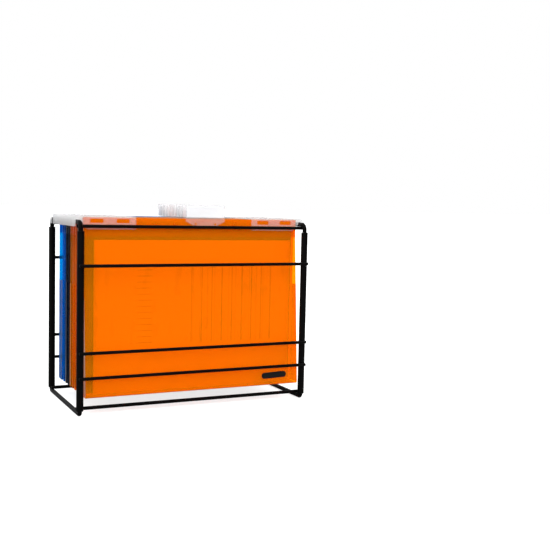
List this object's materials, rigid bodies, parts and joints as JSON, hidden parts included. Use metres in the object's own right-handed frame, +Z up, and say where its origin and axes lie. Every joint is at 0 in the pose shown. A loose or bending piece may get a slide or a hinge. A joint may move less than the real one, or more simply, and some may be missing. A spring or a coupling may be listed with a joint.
{
  "type": "hanging file rack",
  "caption": "Black wire desktop rack: tube posts, bent hang rails and cross rods, holding hanging pocket files with hook clips and label tabs on its two rails.",
  "frame": {"origin": "middle of the footprint, on the surface that the rack stands on", "axes": "+X across the rack to the right, +Y from the front to the back along the rails, +Z up"},
  "size_m": [0.3486, 0.19, 0.2869],
  "materials": {
    "black_powder_coat": "semi-gloss powder coat",
    "clear_polypropylene": "natural translucent, satin",
    "orange_polypropylene": "translucent, satin",
    "green_polypropylene": "translucent, satin",
    "navy_polypropylene": "translucent, satin",
    "blue_polypropylene": "translucent, satin",
    "label_paper": "matte",
    "filed_paper": "matte"
  },
  "bodies": {
    "rack": {"post_front_left": "black_powder_coat", "post_front_right": "black_powder_coat", "post_rear_left": "black_powder_coat", "post_rear_right": "black_powder_coat", "hang_rail_left": "black_powder_coat", "hang_rail_right": "black_powder_coat", "foot_rail_left": "black_powder_coat", "foot_rail_right": "black_powder_coat", "front_top_rod": "black_powder_coat", "front_upper_rod": "black_powder_coat", "front_middle_rod": "black_powder_coat", "front_lower_rod": "black_powder_coat", "front_bottom_rod": "black_powder_coat", "rear_top_rod": "black_powder_coat", "rear_upper_rod": "black_powder_coat", "rear_middle_rod": "black_powder_coat", "rear_lower_rod": "black_powder_coat", "rear_bottom_rod": "black_powder_coat"},
    "file_01": {"file_01_folder": "orange_polypropylene", "file_01_hook_clips": "clear_polypropylene", "file_01_tab_holder": "clear_polypropylene", "file_01_label_slip": "label_paper"},
    "file_02": {"file_02_folder": "green_polypropylene", "file_02_hook_clips": "clear_polypropylene", "file_02_tab_holder": "clear_polypropylene", "file_02_label_slip": "label_paper"},
    "file_03": {"file_03_folder": "green_polypropylene", "file_03_hook_clips": "clear_polypropylene", "file_03_tab_holder": "clear_polypropylene", "file_03_label_slip": "label_paper"},
    "file_04": {"file_04_folder": "orange_polypropylene", "file_04_hook_clips": "clear_polypropylene", "file_04_tab_holder": "clear_polypropylene", "file_04_label_slip": "label_paper"},
    "file_05": {"file_05_folder": "orange_polypropylene", "file_05_hook_clips": "clear_polypropylene", "file_05_tab_holder": "clear_polypropylene", "file_05_label_slip": "label_paper"},
    "file_06": {"file_06_folder": "orange_polypropylene", "file_06_hook_clips": "clear_polypropylene", "file_06_tab_holder": "clear_polypropylene", "file_06_label_slip": "label_paper"},
    "file_07": {"file_07_folder": "navy_polypropylene", "file_07_hook_clips": "clear_polypropylene", "file_07_tab_holder": "clear_polypropylene", "file_07_label_slip": "label_paper"},
    "file_08": {"file_08_folder": "navy_polypropylene", "file_08_hook_clips": "clear_polypropylene", "file_08_tab_holder": "clear_polypropylene", "file_08_label_slip": "label_paper"},
    "file_09": {"file_09_folder": "blue_polypropylene", "file_09_hook_clips": "clear_polypropylene", "file_09_tab_holder": "clear_polypropylene", "file_09_label_slip": "label_paper"},
    "file_10": {"file_10_folder": "blue_polypropylene", "file_10_hook_clips": "clear_polypropylene", "file_10_tab_holder": "clear_polypropylene", "file_10_label_slip": "label_paper"},
    "file_01_sheets": {"file_01_papers": "filed_paper"},
    "file_10_sheets": {"file_10_papers": "filed_paper"}
  },
  "joints": [
    {"name": "file_01_slide", "type": "slide", "parent": "rack", "child": "file_01", "axis": [0, 1, 0], "range_m": [-0.0008, 0.0042]},
    {"name": "file_02_lift", "type": "slide", "parent": "rack", "child": "file_02", "axis": [0, 0, 1], "range_m": [0, 0.28]},
    {"name": "file_03_slide", "type": "slide", "parent": "rack", "child": "file_03", "axis": [0, 1, 0], "range_m": [-0.0042, 0.0042]},
    {"name": "file_04_lift", "type": "slide", "parent": "rack", "child": "file_04", "axis": [0, 0, 1], "range_m": [0, 0.28]},
    {"name": "file_05_slide", "type": "slide", "parent": "rack", "child": "file_05", "axis": [0, 1, 0], "range_m": [-0.0042, 0.0042]},
    {"name": "file_06_lift", "type": "slide", "parent": "rack", "child": "file_06", "axis": [0, 0, 1], "range_m": [0, 0.28]},
    {"name": "file_07_slide", "type": "slide", "parent": "rack", "child": "file_07", "axis": [0, 1, 0], "range_m": [-0.0042, 0.0042]},
    {"name": "file_08_lift", "type": "slide", "parent": "rack", "child": "file_08", "axis": [0, 0, 1], "range_m": [0, 0.28]},
    {"name": "file_09_slide", "type": "slide", "parent": "rack", "child": "file_09", "axis": [0, 1, 0], "range_m": [-0.0042, 0.0042]},
    {"name": "file_10_lift", "type": "slide", "parent": "rack", "child": "file_10", "axis": [0, 0, 1], "range_m": [0, 0.28]},
    {"name": "file_01_papers_lift", "type": "slide", "parent": "file_01", "child": "file_01_sheets", "axis": [0, 0, 1], "range_m": [0, 0.27]},
    {"name": "file_10_papers_lift", "type": "slide", "parent": "file_10", "child": "file_10_sheets", "axis": [0, 0, 1], "range_m": [0, 0.27]}
  ]
}
